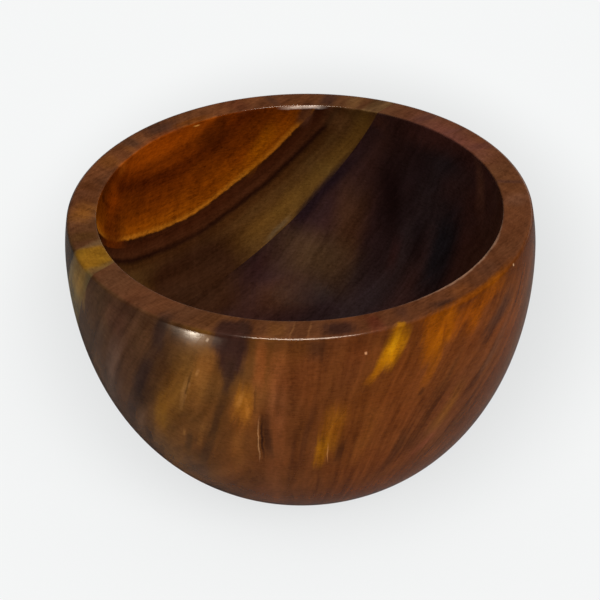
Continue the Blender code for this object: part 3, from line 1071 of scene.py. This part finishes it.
@dataclass
class Studio:
    """Pale floor, soft light and the photograph's camera."""

    form: TurnedForm
    gleams: tuple[Gleam, ...]
    floor_size: float = 6.0
    floor_colour: tuple[float, float, float] = (0.915, 0.925, 0.925)
    floor_roughness: float = 0.9
    floor_lift: float = 0.95
    floor_halo: float = 0.09
    halo_reach: float = 0.12
    floor_shadow_pool: float = 0.22
    pool_place: tuple[float, float] = (0.008, 0.115)
    pool_size: tuple[float, float] = (0.066, 0.092)
    pool_reach: float = 2.0
    floor_in_gloss: float = 0.17
    sky_colour: tuple[float, float, float, float] = (1.0, 1.0, 1.0, 1.0)
    sky: float = 0.3
    sky_in_gloss: float = 0.05
    key_azimuth: float = -55.0
    key_elevation: float = 42.0
    key_strength: float = 3.3
    key_angle: float = 30.0
    lens: float = 121.7
    sensor: float = 36.0
    camera_distance: float = 0.6433
    camera_elevation: float = 31.723
    pitch: float = 34.4335
    yaw: float = -0.0587
    roll: float = -1.451

    def floor_shade(self, sheet: Sheet) -> Socket:
        """Painted shade on the floor: a halo from ambient occlusion close to the bowl, and an oval pool of
        painted shadow that lies mostly behind it.

        Args:
            sheet: Tree of the floor's material.

        Returns:
            The share of light that the shade leaves.
        """
        open_share = sheet.add("ShaderNodeAmbientOcclusion", {"Distance": self.halo_reach}).outputs["AO"]
        halo = sheet.blend(open_share, 1.0 - self.floor_halo, 1.0)
        place = sheet.add("ShaderNodeTexCoord", {}).outputs["Object"]
        # The pool is a painted shadow: an oval of darker floor that no lamp casts.
        from_pool = sheet.vector("SUBTRACT", place, (*self.pool_place, 0.0))
        away = sheet.length(sheet.vector("DIVIDE", from_pool, (*self.pool_size, 1.0)))
        return sheet.product(halo, sheet.smooth(away, (1.0, self.pool_reach), 1.0 - self.floor_shadow_pool, 1.0))

    def floor(self) -> None:
        """Lay the pale floor that the bowl stands on.

        The camera sees it mostly as plain pale colour under the painted shade, and a little as lit.
        Reflections see it darker.
        """
        half = 0.5 * self.floor_size
        corners = ((-half, -half, 0.0), (half, -half, 0.0), (half, half, 0.0), (-half, half, 0.0))
        mesh = bpy.data.meshes.new("floor")
        mesh.from_pydata(corners, [], [(0, 1, 2, 3)])
        material = bpy.data.materials.new("floor")
        material.use_nodes = True
        sheet = Sheet(material.node_tree)
        ray = sheet.add("ShaderNodeLightPath", {}).outputs
        pale = (*self.floor_colour, 1.0)
        lit = (*((1.0 - self.floor_lift) * part for part in self.floor_colour), 1.0)
        colour = sheet.mix(ray["Is Camera Ray"], pale, lit)
        shade = self.floor_shade(sheet)
        sheet.fill(material.node_tree.nodes["Principled BSDF"], {
            "Base Color": sheet.mix(ray["Is Glossy Ray"], colour, (*(self.floor_in_gloss,) * 3, 1.0)),
            "Emission Color": pale,
            "Emission Strength": sheet.product(ray["Is Camera Ray"], shade, self.floor_lift),
            "Roughness": self.floor_roughness,
            "Specular IOR Level": 0.0,
        })
        mesh.materials.append(material)
        floor = put("floor", mesh)

    def lights(self) -> None:
        """Set an even sky, one broad lamp from the front right and the lamps for the highlights."""
        world = bpy.data.worlds.new("studio")
        world.use_nodes = True
        sheet = Sheet(world.node_tree)
        gloss = sheet.add("ShaderNodeLightPath", {}).outputs["Is Glossy Ray"]
        strength = sheet.add("ShaderNodeMapRange", {0: gloss, 3: self.sky, 4: self.sky_in_gloss}).outputs[0]
        sheet.fill(world.node_tree.nodes["Background"], {"Strength": strength, "Color": self.sky_colour})
        bpy.context.scene.world = world
        lamp = bpy.data.lights.new("key", "SUN")
        lamp.energy = self.key_strength
        lamp.angle = math.radians(self.key_angle)
        key = put("key", lamp)
        key.rotation_euler = unit(self.key_azimuth, self.key_elevation).to_track_quat("Z", "Y").to_euler()
        key.visible_glossy = False
        for gleam in self.gleams:
            self.hang(gleam)

    def hang(self, gleam: Gleam) -> None:
        """Hang a lamp that only shows in reflections.

        Args:
            gleam: The lamp.
        """
        lamp = bpy.data.lights.new(gleam.name, "AREA")
        lamp.shape = "ELLIPSE"
        lamp.size, lamp.size_y = gleam.width, gleam.height
        lamp.energy = gleam.power
        lamp.color = gleam.colour
        hung = put(gleam.name, lamp)
        toward = unit(gleam.azimuth, gleam.elevation)
        place = toward.to_track_quat("Z", "Y").to_matrix().to_4x4()
        place.translation = self.form.rim_centre() + toward * gleam.distance
        hung.matrix_world = place
        hung.visible_diffuse = False
        hung.visible_camera = False

    def camera(self) -> None:
        """Place the camera at the photograph's viewpoint, measured from the rim's centre."""
        forward = unit(90.0 - self.yaw, -self.pitch)
        level = forward.cross(Vector((0.0, 0.0, 1.0))).normalized()
        above = level.cross(forward)
        roll = math.radians(self.roll)
        right = math.cos(roll) * level + math.sin(roll) * above
        up = math.cos(roll) * above - math.sin(roll) * level
        lens = bpy.data.cameras.new("camera")
        lens.lens = self.lens
        lens.sensor_width = self.sensor
        camera = put("camera", lens)
        place = Matrix((right, up, -forward)).transposed().to_4x4()
        away = unit(-90.0, self.camera_elevation) * self.camera_distance
        place.translation = self.form.rim_centre() + away
        camera.matrix_world = place
        bpy.context.scene.camera = camera


def main() -> None:
    """Build the boards, dress them, and set the studio."""
    logging.basicConfig(level=logging.INFO, format="%(name)s: %(message)s")
    bpy.context.scene.view_settings.view_transform = "Standard"
    low, high = CAD_BOX
    form = TurnedForm(height=high.z - low.z, widest_radius=0.5 * (high.x - low.x))
    stack = BoardStack(form, BOARDS)
    nodes = WoodNodes(form, stack.turn, stack.tilt)
    dresser = Dresser(nodes, Lacquer(), Borders(), FIGURE_AND_PAINTED_LIGHT)
    for board in stack.build(dresser):
        LOG.info("%s: %d faces", board.name, len(board.data.polygons))
    studio = Studio(form, GLEAMS)
    studio.floor()
    studio.lights()
    studio.camera()


if __name__ == "__main__":
    main()
